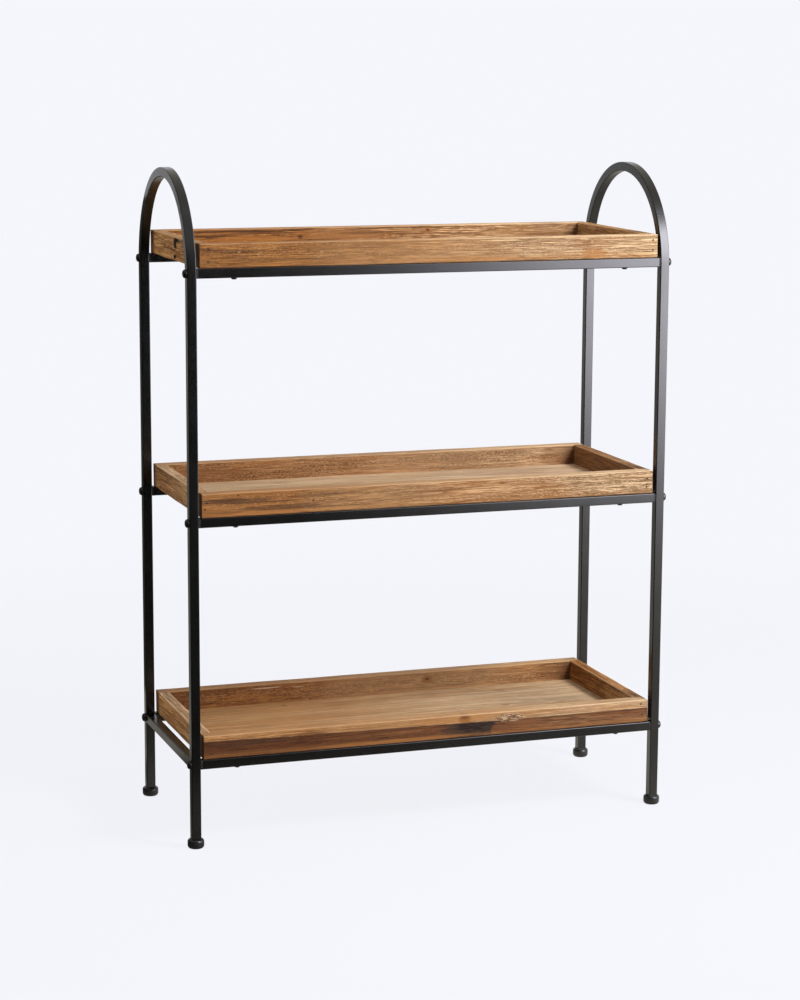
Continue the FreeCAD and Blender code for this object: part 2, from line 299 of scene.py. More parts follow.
def steel_finish(name):
    """Darkened steel of nails and pins."""
    finish = Finish(bpy.data.materials.new(name))
    tint = colours().dark_steel
    grime = finish.noise(finish.place, 700, 4, 0.6)
    shade = finish.tint(grime, times(tint, 0.5), times(tint, 1.6))
    return finish.surface(Base_Color=shade, Roughness=0.60 + grime * 0.25, Metallic=0.1,
                          Normal=finish.bump(grime, 0.00004, 0.5))


class Grain(NamedTuple):
    """How a board looks. Places and reaches are along and across it, from its middle, in metres."""
    # Most boards grow lighter towards their last end, nearer the light at the right front: partly the wood's
    # own tone, partly painted light.
    first: str                  # its colour at the left end, or at an end board's back end
    last: str                   # and at the other end
    torn: float = 0.3           # how much torn fibre shows
    streaks: float = 1.0        # how strong the streaks are
    run: float = 1.0            # how far they run
    knots: tuple = ()           # each: place along, place across, size
    marks: tuple = ()           # each: place along and across, reach along and across, colour, share
    burrs: tuple = ()           # each: place along and across, reach along and across
    # An end board's inner and top faces get their own tone, which partly stands in for how the light falls on
    # them: painted light.
    inside: str = ""            # the colour of an end board's inner and top faces
    corner: float = 0.0         # how dark the painted shadow in a back board's right corner is
    planed_and_lit: float = 0.0         # how light the top edge is: planing, and a painted highlight
    ends: float = 1.0           # how dark the cut ends are: end grain, and at full strength also the painted shadow of the posts beside the front boards' ends
    stained: bool = False       # whether the lower part is stained and scorched


class Pattern(NamedTuple):
    """A noise that is drawn out along the grain."""
    along: float                # how often it changes in a metre along the grain
    across: float               # and across it
    detail: float = 3
    rough: float = 0.55
    runs: bool = False          # whether it follows the board's own run
    warp: float = 0.0


# The patterns of the wood: of its rings, its own streaks from broad to fine, and its wear
PATTERNS = {
    "drift": Pattern(3, 14, 2, 0.5),
    "wobble": Pattern(2.6, 46, 2),
    "slow": Pattern(4, 34),
    "streak": Pattern(11, 210, 4, 0.6, runs=True),
    "fibre": Pattern(26, 700, 4, 0.6, runs=True),
    "hair": Pattern(90, 1250, 2, 0.5, runs=True),
    "amber": Pattern(7, 80),
    "vein": Pattern(5, 170, 3, 0.6, runs=True),
    "dash": Pattern(55, 900, 2, runs=True),
    "rasp": Pattern(230, 860, 2, 0.6),
    "patch": Pattern(5, 95, 2),
    "ragged": Pattern(60, 240, 3, 0.6),
    "fleck": Pattern(110, 420, 3, 0.6),
    "curl": Pattern(120, 420, 4, 0.6, warp=1.2),
}

# Tints that the wood's own colour is multiplied by; the stain's are at its left and its right end, lighter at
# the right partly as painted light
DARKER, LIGHTER = (0.42, 0.34, 0.26), (1.50, 1.60, 1.72)
STAIN = (0.25, 0.165, 0.10), (0.41, 0.28, 0.195)

# Lengths on the wood. Of a pair, the first is where a soft edge starts and the second where it is full
RING_WIDTH = 0.0047
PITH_ASIDE, PITH_BELOW = 0.012, 0.045
SWERVE_ASIDE, SWERVE_UP = 0.035, 0.045
INNER_FACE, OUTER_FACE = (-0.0012, -0.0006), (0.003, 0.001)
UPPER_HALF = 0, 0.001
FOOT_BAND, FOOT_SHADOW = (0.010, 0.002), (0.0019, 0.0009)
STAIN_TOP, STAIN_FALL, STAIN_LEAST, STAIN_WAVER = 0.0083, 0.0108, 0.0042, 0.004
STAIN_EDGE = 0.0004, -0.0004
STAIN_RIM_BELOW, STAIN_RIM = 0.0008, (0.0013, 0.0005)
SCORCH_LEFT, SCORCH_RIGHT, SCORCH_FOOT = (0.008, 0.024), (0.0965, 0.0915), (-0.0160, -0.0135)
SCORCH_DEEPER, SCORCH_FLECKS = (0.026, 0.044), (0.030, 0.050)
NAIL_RING = 0.0017, 0.0012
CORNER_SHADOW = 0.048, 0.016
WORN_AND_LIT_EDGE, THIN_EDGE = (0.0020, 0.0006), (0.0009, 0.0004)
RELIEF = 0.0007


class Wood(Finish):
    """Rustic softwood. Its steps are laid one over the other, in the order that wood_finish gives."""

    def __init__(self, name, low, high, turn, grain, seed):
        super().__init__(bpy.data.materials.new(name))
        self.grain = grain
        self.tones = colours()
        half = (high - low) / 2
        self.half = Vector((half.y, half.x, half.z)) if turn else half
        self.on_edge = self.half.z > self.half.y
        place = self.local((low + high) / 2, turn)
        self.shifted = self.stretched(place, (1, 1, 1), (seed * 1.37, seed * 0.71, seed * 0.43))
        self.x, self.y, self.z = self.parts(place)
        self.spot = self.x, self.z if self.on_edge else self.y
        self.slow, self.streak = self.drawn("slow"), self.drawn("streak")
        self.fibre, self.hair = self.drawn("fibre"), self.drawn("hair")

    def drawn(self, name, output=0):
        """One of the patterns, as it runs on this board."""
        pattern = PATTERNS[name]
        along = pattern.along / self.grain.run if pattern.runs else pattern.along
        place = self.stretched(self.shifted, (along, pattern.across, pattern.across))
        return self.noise(place, 1, pattern.detail, pattern.rough, pattern.warp, output)

    def lay(self, share, tint):
        """Lays a colour over the shade."""
        self.shade = self.tint(share, self.shade, tint)

    def blot(self, oval):
        """One inside a frayed oval and nothing outside it."""
        along, across, long_reach, cross_reach = oval
        ahead = (self.spot[0] - along) / long_reach
        aside = (self.spot[1] - across) / cross_reach
        return self.between(ahead * ahead + aside * aside + (self.fibre - 0.5) * 2.4, 1.35, 0.45)

    def growth_rings(self, seed):
        """Rings round a pith outside the board, which bow round the knots."""
        swerve = self.parts(self.drawn("drift", "Color"))
        radius = distance(self.y + PITH_ASIDE * (seed % 3 - 1) + (swerve[1] - 0.5) * SWERVE_ASIDE,
                          self.z + PITH_BELOW + (swerve[2] - 0.5) * SWERVE_UP)
        self.knots = []
        for along, across, size in self.grain.knots:
            ahead, aside = (self.spot[0] - along) / (size * 1.5), (self.spot[1] - across) / size
            away = distance(ahead, aside) + (self.fibre - 0.5) * 0.9
            self.knots.append(away)
            radius = radius + size * 2.2 / (away * away + 1)
        ring = (radius / RING_WIDTH + self.drawn("wobble") * 6).fraction()
        self.late = self.between(ring, 0.35, 0.92) * self.between(ring, 1.0, 0.94)

    def own_colour(self):
        """The wood's colour from one end to the other, and its broad streaks. The lightening towards the last
        end, nearer the light at the right front, is partly the wood's own tone and partly painted light.
        """
        grain, tones, half = self.grain, self.tones, self.half
        along = self.between(self.x + (self.slow - 0.5) * half.x * 0.9, -half.x * 0.6, half.x * 0.85)
        base = self.tint(along, getattr(tones, grain.first), getattr(tones, grain.last))
        # The inner and top faces' own tone is partly painted light.
        if grain.inside:
            inner = self.between((self.y - half.y).most(self.z - half.z), *INNER_FACE)
            base = self.tint(inner, base, getattr(tones, grain.inside))
        self.dark = self.tint(1.0, base, DARKER, "MULTIPLY")
        light = self.tint(1.0, base, LIGHTER, "MULTIPLY")
        self.fresh_and_highlight = self.tint(0.35, light, tones.pale)
        tone = 0.5 + ((self.slow - 0.5) * 1.0 + (self.streak - 0.5) * 0.8 + (self.fibre - 0.5) * 1.9
                      + (self.hair - 0.5) * 1.2) * grain.streaks
        self.shade = self.tint(self.between(tone, 0.22, 0.78), self.dark, light)

    def fine_grain(self):
        """Amber streaks, late wood, veins, short dark dashes and torn fibre."""
        grain, tones = self.grain, self.tones
        self.lay(self.between(self.drawn("amber"), 0.48, 0.66) * 0.38, tones.amber)
        self.lay(self.late * (0.42 * grain.streaks), self.dark)
        veins = (self.between(abs(self.drawn("vein") - 0.5), 0.055, 0.015)
                 * self.between(self.slow, 0.38, 0.56))
        self.lay(veins * (0.55 * grain.streaks), self.dark)
        dashes = self.between(self.drawn("dash"), 0.58, 0.66) * self.between(self.streak, 0.62, 0.42)
        self.lay(dashes * (0.55 * grain.streaks), tones.umber)
        rasped, patch = self.drawn("rasp"), self.between(self.drawn("patch"), 0.40, 0.54)
        torn = self.between(rasped, 0.54, 0.64) * patch
        self.lay(self.between(rasped, 0.46, 0.36) * patch * (grain.torn * 0.9), self.dark)
        self.lay(torn * grain.torn, self.fresh_and_highlight)
        self.height = (self.streak * 0.5 + self.fibre * 0.6 + self.hair * 0.2 - self.late * 0.3
                       - veins * 0.5 - dashes * 0.8 + torn * (grain.torn * 0.9))

    def stain(self):
        """The lower part, stained darker under a wavering line, and the scorched patch in it."""
        half, tones = self.half, self.tones
        line = ((STAIN_TOP - (self.x + half.x) * STAIN_FALL).most(STAIN_LEAST)
                + (self.streak - 0.5) * STAIN_WAVER)
        above = self.z - line
        under = self.between(above, *STAIN_EDGE)
        # The stain lightens towards the right end: partly its own tone, partly painted light.
        depth = self.tint(self.between(self.x, -half.x, half.x), *STAIN)
        self.lay(under, self.tint(1.0, self.shade, depth, "MULTIPLY"))
        self.lay(self.between(abs(above + STAIN_RIM_BELOW), *STAIN_RIM) * 0.6, tones.umber)
        ragged = self.drawn("ragged") - 0.5
        frayed = self.x + ragged * 0.030
        scorch = (self.between(frayed, *SCORCH_LEFT)
                  * self.between(self.x + ragged * 0.034 - self.z * 0.50, *SCORCH_RIGHT)
                  * self.between(self.z + ragged * 0.010, *SCORCH_FOOT)
                  * self.between(self.y, *OUTER_FACE) * under)
        self.lay(scorch * self.between(frayed, *SCORCH_DEEPER, 0.60, 0.88), tones.soot)
        flecks = self.between(self.drawn("fleck"), 0.42, 0.56) * self.between(frayed, *SCORCH_FLECKS)
        self.lay(scorch * flecks * 0.85, tones.char)
        self.height = self.height - under * 0.5

    def foot(self):
        """The warm band along the foot, and the painted contact shadow where the board stands on the rail."""
        above = -self.half.z
        band = self.between(self.z + (self.slow - 0.5) * 0.012, above + FOOT_BAND[0], above + FOOT_BAND[1])
        self.lay(band * 0.30, self.tones.amber)
        self.lay(self.between(self.z, above + FOOT_SHADOW[0], above + FOOT_SHADOW[1]) * 0.7, self.tones.umber)

    def marks(self):
        """Stains and nicks, and blots of painted shade near the trays' back corners. On an end board they
        stay on its outer face.
        """
        for *oval, tone, share in self.grain.marks:
            mask = self.blot(oval)
            if self.grain.inside:
                mask = mask * self.between(self.y, *OUTER_FACE)
            self.lay(mask * share, getattr(self.tones, tone))

    def burrs(self):
        """Curled fibre, broken open."""
        tones = self.tones
        for oval in self.grain.burrs:
            mask, curl = self.blot(oval), self.drawn("curl")
            self.lay(mask * 0.9, self.tint(self.between(curl, 0.40, 0.64), tones.russet, tones.straw))
            self.lay(mask * self.between(abs(curl - 0.44), 0.03, 0.01) * 0.7, tones.umber)
            self.height = self.height + mask * curl * 2.5

    def nail_rings(self, nails):
        """Wood darkened round the nail heads."""
        for along, across in nails:
            ring = self.between(distance(self.x - along, self.z - across), *NAIL_RING)
            self.lay(ring * 0.75, self.tones.umber)

    def knot_hearts(self):
        """A reddish ring and a dark, sunken heart at each knot."""
        tones = self.tones
        for away in self.knots:
            self.lay(self.between(away, 2.6, 0.9) * 0.75, self.tint(0.4, tones.russet, tones.amber))
            self.lay(self.between(away, 0.80, 0.40) * 0.8, tones.umber)
            self.height = self.height - self.between(away, 0.9, 0.4) * 1.2

    def dark_corner(self):
        """The corner at the right end that the light doesn't reach."""
        start, full = CORNER_SHADOW
        deep = self.between(self.x - self.z * 0.4 + (self.fibre - 0.5) * 0.016,
                            self.half.x - start, self.half.x - full)
        self.lay(deep * self.grain.corner, self.tint(0.35, self.tones.umber, self.tones.russet))

    def worn_and_lit_edges(self):
        """Upper edges lightened by wear and a painted highlight, and the cut ends: dark end grain that soaks
        up the finish, with the painted shadow of the posts beside the front boards' ends.
        """
        half, tones = self.half, self.tones
        to_end, to_side, to_top = half.x - abs(self.x), half.y - abs(self.y), half.z - abs(self.z)
        upper = self.between(self.z, *UPPER_HALF)
        # Upper edges lighter: partly wear, partly a painted highlight.
        worn_and_lit = self.between(to_side.most(to_top) + (self.fibre - 0.5) * 0.003, *WORN_AND_LIT_EDGE) * upper
        self.lay(worn_and_lit * 0.75, self.fresh_and_highlight)
        if self.grain.planed_and_lit:
            self.lay(self.between(to_top, *THIN_EDGE) * upper * self.grain.planed_and_lit, self.fresh_and_highlight)
        # Cut ends darkened: end grain, and at full strength also painted shadow of the posts.
        cut = self.between(to_end, *THIN_EDGE) * self.grain.ends
        self.lay(cut * (0.55 + self.streak * 0.5), self.tint(0.6, tones.russet, tones.umber))


def wood_finish(name, low, high, turn, grain, seed, nails=()):
    """The wood of one board or panel."""
    wood = Wood(name, low, high, turn, grain, seed)
    wood.growth_rings(seed)
    wood.own_colour()
    wood.fine_grain()
    if grain.stained:
        wood.stain()
    if wood.on_edge and not turn:
        wood.foot()
    wood.marks()
    wood.burrs()
    wood.nail_rings(nails)
    wood.knot_hearts()
    if grain.corner:
        wood.dark_corner()
    if wood.on_edge:
        wood.worn_and_lit_edges()
    return wood.surface(Base_Color=wood.shade, Roughness=0.62 + wood.fibre * 0.16, IOR=1.27,
                        Normal=wood.bump(wood.height, RELIEF, 0.9))


# Nail places at the left and the right end of a front or back board, for the upper and the lower nail:
# distance from the board's end, and height above its foot, as measured in the photo
NAILS = {
    "top": (((0.0120, 0.0261), (0.0117, 0.0083)), ((0.0075, 0.0251), (0.0075, 0.0112))),
    "middle": (((0.0072, 0.0205), (0.0048, 0.0116)), ((0.0083, 0.0218), (0.0096, 0.0099))),
    "lower": (((0.0105, 0.0201), (0.0114, 0.0073)), ((0.0108, 0.0271), (0.0090, 0.0116))),
}
BOARDS = {
    "top_tray_front_board": Grain("honey", "peach", torn=0.45, streaks=0.95, run=1.2,
        marks=(
            (-0.04, 0.0, 0.14, 0.03, "tan", 0.35), (-0.29, 0.0065, 0.05, 0.0022, "umber", 0.4),
            (-0.23, -0.006, 0.07, 0.002, "umber", 0.4), (0.236, -0.008, 0.02, 0.007, "amber", 0.6),
            (0.224, 0.005, 0.008, 0.004, "russet", 0.5), (0.243, -0.002, 0.006, 0.003, "russet", 0.35),
            (-0.278, 0.0045, 0.0022, 0.0009, "peach", 0.6), (-0.252, 0.001, 0.0025, 0.0008, "peach", 0.6),
            (-0.248, 0.0035, 0.002, 0.0009, "peach", 0.6), (-0.163, 0.003, 0.003, 0.0009, "peach", 0.6),
            (-0.268, 0.002, 0.0012, 0.0028, "russet", 0.6), (0.05, -0.012, 0.08, 0.004, "amber", 0.35),
        )),
    "top_tray_back_board": Grain(
        "honey", "peach", torn=0.3, streaks=1.5, run=1.3, corner=0.7, planed_and_lit=0.6, ends=0.2,
        knots=((-0.1162, 0.003, 0.0044), (0.021, 0.0032, 0.0016), (0.0791, 0.0094, 0.0026)),
        marks=(
            (-0.115, 0.015, 0.024, 0.0016, "umber", 0.8), (-0.24, 0.01, 0.08, 0.005, "russet", 0.5),
            (-0.19, 0.0, 0.07, 0.006, "amber", 0.6), (-0.05, 0.004, 0.06, 0.009, "chestnut", 0.6),
            (-0.2, 0.0125, 0.1, 0.0014, "umber", 0.8), (-0.27, 0.006, 0.05, 0.0016, "umber", 0.7),
            (-0.16, 0.009, 0.05, 0.0012, "umber", 0.6), (0.05, 0.014, 0.12, 0.001, "umber", 0.6),
            (0.235, 0.004, 0.07, 0.01, "tan", 0.35), (0.265, -0.002, 0.03, 0.008, "russet", 0.5),
            (-0.1, -0.002, 0.05, 0.0018, "umber", 0.55), (-0.02, 0.0075, 0.06, 0.0016, "umber", 0.45),
        )),
    "top_tray_left_end_board": Grain("ginger", "ginger", torn=0.5, streaks=1.1, inside="tan",
        marks=(
            # The char blots are painted shade deep inside a hole and cracks in the board.
            (0.0057, 0.008, 0.0085, 0.0075, "char", 1.0), (0.014, 0.012, 0.014, 0.003, "char", 1.0),
            (-0.03, -0.002, 0.05, 0.001, "umber", 0.6), (0.06, 0.006, 0.04, 0.001, "umber", 0.6),
            (0.003, -0.0111, 0.0085, 0.0024, "char", 1.0),
        )),
    "top_tray_right_end_board": Grain("tan", "tan", torn=0.2, streaks=0.7),
    "middle_tray_front_board": Grain("honey", "peach", torn=0.7, streaks=1.6, planed_and_lit=0.5,
        marks=(
            (-0.26, 0.0, 0.09, 0.03, "amber", 0.45), (-0.09, 0.0, 0.1, 0.03, "tan", 0.45),
            (0.1, 0.0, 0.1, 0.03, "amber", 0.3), (-0.2813, 0.0128, 0.0016, 0.0012, "umber", 1.0),
            (-0.175, 0.0004, 0.0016, 0.0012, "umber", 1.0), (-0.24, 0.002, 0.075, 0.001, "umber", 0.7),
            (-0.3, 0.0075, 0.028, 0.0016, "umber", 0.5), (-0.17, -0.009, 0.1, 0.001, "umber", 0.5),
            (-0.21, -0.0035, 0.05, 0.0008, "umber", 0.6), (-0.13, 0.009, 0.03, 0.0008, "umber", 0.5),
            (-0.25, -0.014, 0.06, 0.003, "amber", 0.5), (0.02, 0.004, 0.1, 0.0012, "russet", 0.5),
            (-0.29, 0.0055, 0.06, 0.0034, "umber", 0.65), (-0.22, -0.0065, 0.07, 0.0026, "umber", 0.6),
            (-0.3, -0.01, 0.03, 0.002, "umber", 0.4), (-0.17, 0.007, 0.05, 0.002, "umber", 0.4),
        )),
    "middle_tray_back_board": Grain(
        "chestnut", "peach", torn=1.0, streaks=0.6, run=1.1, corner=0.8, planed_and_lit=0.6, ends=0.2,
        marks=(
            (0.08, 0.0, 0.09, 0.03, "peach", 0.25), (-0.26, 0.0, 0.06, 0.012, "russet", 0.35),
            # The russet blot at 0.29 is painted shade in the tray's back right corner.
            (0.29, 0.0, 0.03, 0.02, "russet", 0.5),
        )),
    "middle_tray_left_end_board": Grain("chestnut", "tan", torn=0.5, streaks=1.1, inside="peach"),
    "middle_tray_right_end_board": Grain("chestnut", "tan", torn=0.1, streaks=0.5,
        # The umber over the whole board is painted shade, for its inner face lying in shadow.
        marks=((0.0, 0.0, 0.2, 0.05, "umber", 0.4),)),
    "lower_tray_front_board": Grain(
        "caramel", "peach", torn=0.3, streaks=0.75, run=1.6, planed_and_lit=0.25, stained=True,
        marks=(
            (-0.085, 0.011, 0.085, 0.006, "tan", 0.35), (0.06, 0.012, 0.1, 0.006, "amber", 0.3),
            (0.1, 0.0118, 0.1, 0.006, "caramel", 0.6), (0.0495, 0.0105, 0.0105, 0.006, "honey", 0.95),
            (0.049, 0.0122, 0.0065, 0.003, "russet", 0.9), (0.138, 0.0, 0.022, 0.005, "russet", 0.85),
            (-0.05, -0.013, 0.12, 0.003, "amber", 0.45), (0.24, 0.01, 0.1, 0.007, "tan", 0.35),
            (-0.26, 0.002, 0.06, 0.004, "umber", 0.35),
        ),
        burrs=((0.117, 0.0074, 0.023, 0.0062),)),
    "lower_tray_back_board": Grain(
        "honey", "tan", torn=0.7, streaks=0.75, run=1.1, corner=0.8, planed_and_lit=0.6, ends=0.2,
        knots=((0.083, 0.0052, 0.0034),),
        marks=(
            (-0.17, 0.011, 0.022, 0.001, "pale", 0.9), (-0.12, 0.009, 0.01, 0.0008, "pale", 0.8),
            # The russet blots at -0.29 and 0.29 are painted shade in the tray's back corners.
            (0.07, 0.0, 0.16, 0.03, "peach", 0.3), (-0.29, 0.0, 0.03, 0.02, "russet", 0.4),
            (0.29, 0.0, 0.03, 0.02, "russet", 0.5),
        )),
    "lower_tray_left_end_board": Grain("ginger", "tan", torn=0.5, streaks=1.1, inside="peach",
        marks=((0.05, 0.008, 0.01, 0.004, "umber", 0.35),)),
    "lower_tray_right_end_board": Grain("honey", "tan", torn=0.45, streaks=1.2),
}
PANELS = {
    "top_tray_bottom_panel": Grain("straw", "straw", torn=0.12, streaks=0.32, run=2.0),
    "middle_tray_bottom_panel": Grain("straw", "pale", torn=0.1, streaks=0.35, run=2.0),
    "lower_tray_bottom_panel": Grain("tan", "straw", torn=0.1, streaks=0.28, run=2.0,
        marks=(
            (-0.1485, 0.0974, 0.0045, 0.004, "russet", 0.7), (0.166, 0.0022, 0.006, 0.005, "russet", 0.45),
            (0.188, 0.087, 0.01, 0.004, "russet", 0.35),
        )),
}


# Pieces

# How finely the shapes are made: faces round a corner, steps of a curve, turns about an axis
CORNER_FACES, FLANGE_FACES = 5, 4
DOME_STEPS, CAP_STEPS = 6, 6
BOLT_TURNS, CAP_TURNS = 48, 64
BOARD_STEP = 0.022              # the most between two cuts along a board
SAME_PLACE = 0.000001           # points closer than this are one
LOOSE_PLACE = 0.00001           # the same for the solids' loose triangles
SMOOTH, BOARD_SMOOTH = 35.0, 25.0   # edges that turn less than this, in degrees, are shaded smooth
RIM_TURN = 1.2                  # a plate's rims turn more than this, in radians
BOLT_CROWN = 0.45               # the flat round a bolt's socket, as a share of the head's radius
TOE_LEAN, SHOULDER_LEAN = 0.76, 0.77    # how far a cap's toe and shoulder lean in for their height


def finish_piece(bm, name, material, node, smooth_angle=SMOOTH):
    """Turns a bmesh into a piece that stands for a node of the solids and rides on the body."""
    bmesh.ops.recalc_face_normals(bm, faces=bm.faces)
    limit = math.radians(smooth_angle)
    for face in bm.faces:
        face.smooth = True
    for edge in bm.edges:
        edge.smooth = len(edge.link_faces) == 2 and edge.calc_face_angle(0.0) < limit
    mesh = bpy.data.meshes.new(name)
    bm.to_mesh(mesh)
    bm.free()
    piece = bpy.data.objects.new(name, mesh)
    bpy.context.scene.collection.objects.link(piece)
    mesh.materials.append(material)
    even = piece.modifiers.new("Even normals", "WEIGHTED_NORMAL")
    even.keep_sharp = True
    even.weight = 100
    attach(piece, "root")
    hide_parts(node)
    return piece


def square_section(bm, size, radius, place):
    """A square outline with rounded corners, laid at a place; returns its edges."""
    made = bmesh.ops.create_grid(bm, x_segments=1, y_segments=1, size=size / 2)["verts"]
    rounded = bmesh.ops.bevel(bm, geom=made, offset=radius, offset_type="OFFSET", segments=CORNER_FACES,
                              profile=0.5, affect="VERTICES", material=-1, clamp_overlap=True)
    faces = list({face for vert in rounded["verts"] for face in vert.link_faces})
    verts = faces[0].verts[:]
    edges = faces[0].edges[:]
    bmesh.ops.delete(bm, geom=faces, context="FACES_ONLY")
    bmesh.ops.transform(bm, matrix=place, verts=verts)
    return edges


def drawn_on(bm, edges, step):
    """Draws an open outline along a straight step; returns the new end's edges."""
    grown = bmesh.ops.extrude_edge_only(bm, edges=edges)["geom"]
    moved = [part for part in grown if isinstance(part, bmesh.types.BMVert)]
    bmesh.ops.translate(bm, vec=step, verts=moved)
    return [part for part in grown if isinstance(part, bmesh.types.BMEdge)
            and part.verts[0] in moved and part.verts[1] in moved]


def close(bm, edges):
    """Closes an outline with one flat face."""
    bmesh.ops.contextual_create(bm, geom=edges)


def placed(place, first, second, third):
    """The matrix that sets something at a place, on its own three axes."""
    return Matrix.Translation(place) @ Matrix((first, second, third)).transposed().to_4x4()


def looking(direction, across, origin):
    """The matrix that lays a shape drawn in XY at an origin, facing along a direction."""
    return placed(origin, across, direction.cross(across), direction)


def add_copy(whole, part, place):
    """Adds a copy of one finished shape to a piece, moved by a matrix."""
    first = len(whole.verts)
    mesh = bpy.data.meshes.new("copy")
    part.to_mesh(mesh)
    whole.from_mesh(mesh)
    bpy.data.meshes.remove(mesh)
    whole.verts.ensure_lookup_table()
    bmesh.ops.transform(whole, matrix=place, verts=whole.verts[first:])


def quarter(narrow, wide):
    """Points along a rounded corner that leaves a narrow rim slanting and meets the wide rim upright."""
    points = []
    for step in range(1, CAP_STEPS + 1):
        angle = step / CAP_STEPS * math.pi / 2
        points.append(Vector((narrow.x + (wide.x - narrow.x) * math.sin(angle), 0,
                              wide.z + (narrow.z - wide.z) * math.cos(angle))))
    return points


def turned_shape(outline, steps):
    """A shape turned about Z from a half outline in the XZ plane."""
    bm = bmesh.new()
    verts = [bm.verts.new(point) for point in outline]
    edges = [bm.edges.new(pair) for pair in zip(verts, verts[1:])]
    bmesh.ops.spin(bm, geom=verts + edges, cent=(0, 0, 0), axis=(0, 0, 1), angle=math.tau, steps=steps,
                   use_merge=True, use_duplicate=False)
    bmesh.ops.remove_doubles(bm, verts=bm.verts, dist=SAME_PLACE)
    return bm


def straight_tube(start, step, across, size, radius):
    """A straight length of square tube with closed ends."""
    bm = bmesh.new()
    first = square_section(bm, size, radius, looking(step.normalized(), across, start))
    last = drawn_on(bm, first, step)
    close(bm, first)
    close(bm, last)
    return bm


class SHELVING_OT_side_frames(bpy.types.Operator):
    """Bend each side frame from one square tube: post, half-round arch, post"""
    bl_idname = "shelving.side_frames"
    bl_label = "Side frames"

    def execute(self, context):
        coat = black_coat_finish("black_powder_coat", "tube")
        for side, sign in SIDES.items():
            node = side + "_side_frame"
            low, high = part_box(node)
            foot = Vector((sign * POST_X, -POST_Y, low.z))
            leg = ARCH_CENTRE - low.z
            bm = bmesh.new()
            first = square_section(bm, TUBE, sizes().corner_radius, looking(Z, X, foot))
            shoulder = drawn_on(bm, first, Z * leg)
            turned = bmesh.ops.spin(bm, geom=shoulder, cent=(foot.x, 0, ARCH_CENTRE), axis=-X,
                                    angle=math.pi, steps=sizes().arch_steps, use_merge=False,
                                    use_normal_flip=False, use_duplicate=False)["geom_last"]
            arch_end = [part for part in turned if isinstance(part, bmesh.types.BMEdge)]
            last = drawn_on(bm, arch_end, -Z * leg)
            close(bm, first)
            close(bm, last)
            finish_piece(bm, node + "_tube", coat, node)
        return {"FINISHED"}


class SHELVING_OT_crossbars(bpy.types.Operator):
    """Set the two crossbars between the posts"""
    bl_idname = "shelving.crossbars"
    bl_label = "Crossbars"

    def execute(self, context):
        coat = black_coat_finish("black_powder_coat", "crossbar")
        for side, sign in SIDES.items():
            node = side + "_crossbar"
            low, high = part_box(node)
            start = Vector((sign * POST_X, low.y, (low.z + high.z) / 2))
            bm = straight_tube(start, Y * (high.y - low.y), X, TUBE, sizes().corner_radius)
            finish_piece(bm, node + "_tube", coat, node)
        return {"FINISHED"}


class SHELVING_OT_rails(bpy.types.Operator):
    """Lay the six rails between their end plates"""
    bl_idname = "shelving.rails"
    bl_label = "Rails"

    def execute(self, context):
        coat = black_coat_finish("black_powder_coat", "rail")
        for tier in TIERS:
            for face in FACES:
                node = tier + "_" + face + "_rail"
                low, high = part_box(node)
                start = Vector((low.x, (low.y + high.y) / 2, (low.z + high.z) / 2))
                bm = straight_tube(start, X * (high.x - low.x), Y, TUBE, sizes().corner_radius)
                finish_piece(bm, node + "_tube", coat, node)
        return {"FINISHED"}


class SHELVING_OT_rail_plugs(bpy.types.Operator):
    """Close the rail ends with their rounded plates"""
    bl_idname = "shelving.rail_plugs"
    bl_label = "Rail plugs"

    def execute(self, context):
        coat = black_coat_finish("black_powder_coat", "plate")
        for tier in TIERS:
            node = tier + "_rail_plugs"
            low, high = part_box(node)
            rail_low, rail_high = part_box(tier + "_front_rail")
            thick = high.x - rail_high.x
            middle = (rail_low.z + rail_high.z) / 2
            whole = bmesh.new()
            for sign in SIDES.values():
                for face in FACES.values():
                    start = Vector((sign * rail_high.x, face * POST_Y, middle))
                    bm = straight_tube(start, X * (sign * thick), Y, TUBE, sizes().corner_radius)
                    rims = [edge for edge in bm.edges if edge.calc_face_angle(0.0) > RIM_TURN]
                    bmesh.ops.bevel(bm, geom=rims, offset=sizes().flange_round, offset_type="OFFSET",
                                    segments=FLANGE_FACES, profile=0.5, affect="EDGES", material=-1)
                    add_copy(whole, bm, Matrix())
                    bm.free()
            finish_piece(whole, node + "_plates", coat, node)
        return {"FINISHED"}


def bolt_head(radius, height):
    """A dome head with a hexagon socket, upright on the origin."""
    rim = sizes().head_rim
    crown = radius * BOLT_CROWN
    socket = sizes().socket_flats / math.sqrt(3)
    outline = [Vector((0, 0, 0)), Vector((radius, 0, 0)), Vector((radius, 0, rim))]
    for step in range(1, DOME_STEPS + 1):
        angle = step / DOME_STEPS * math.pi / 2
        outline.append(Vector((crown + (radius - crown) * math.cos(angle), 0,
                               rim + (height - rim) * math.sin(angle))))
    bm = turned_shape(outline, BOLT_TURNS)
    top = [edge for edge in bm.edges if edge.is_boundary]
    hexagon = bmesh.ops.create_circle(bm, cap_ends=False, segments=6, radius=socket)["verts"]
    bmesh.ops.translate(bm, vec=Z * height, verts=hexagon)
    ring = list({edge for vert in hexagon for edge in vert.link_edges})
    bmesh.ops.bridge_loops(bm, edges=top + ring)
    close(bm, drawn_on(bm, ring, Z * -sizes().socket_depth))
    return bm


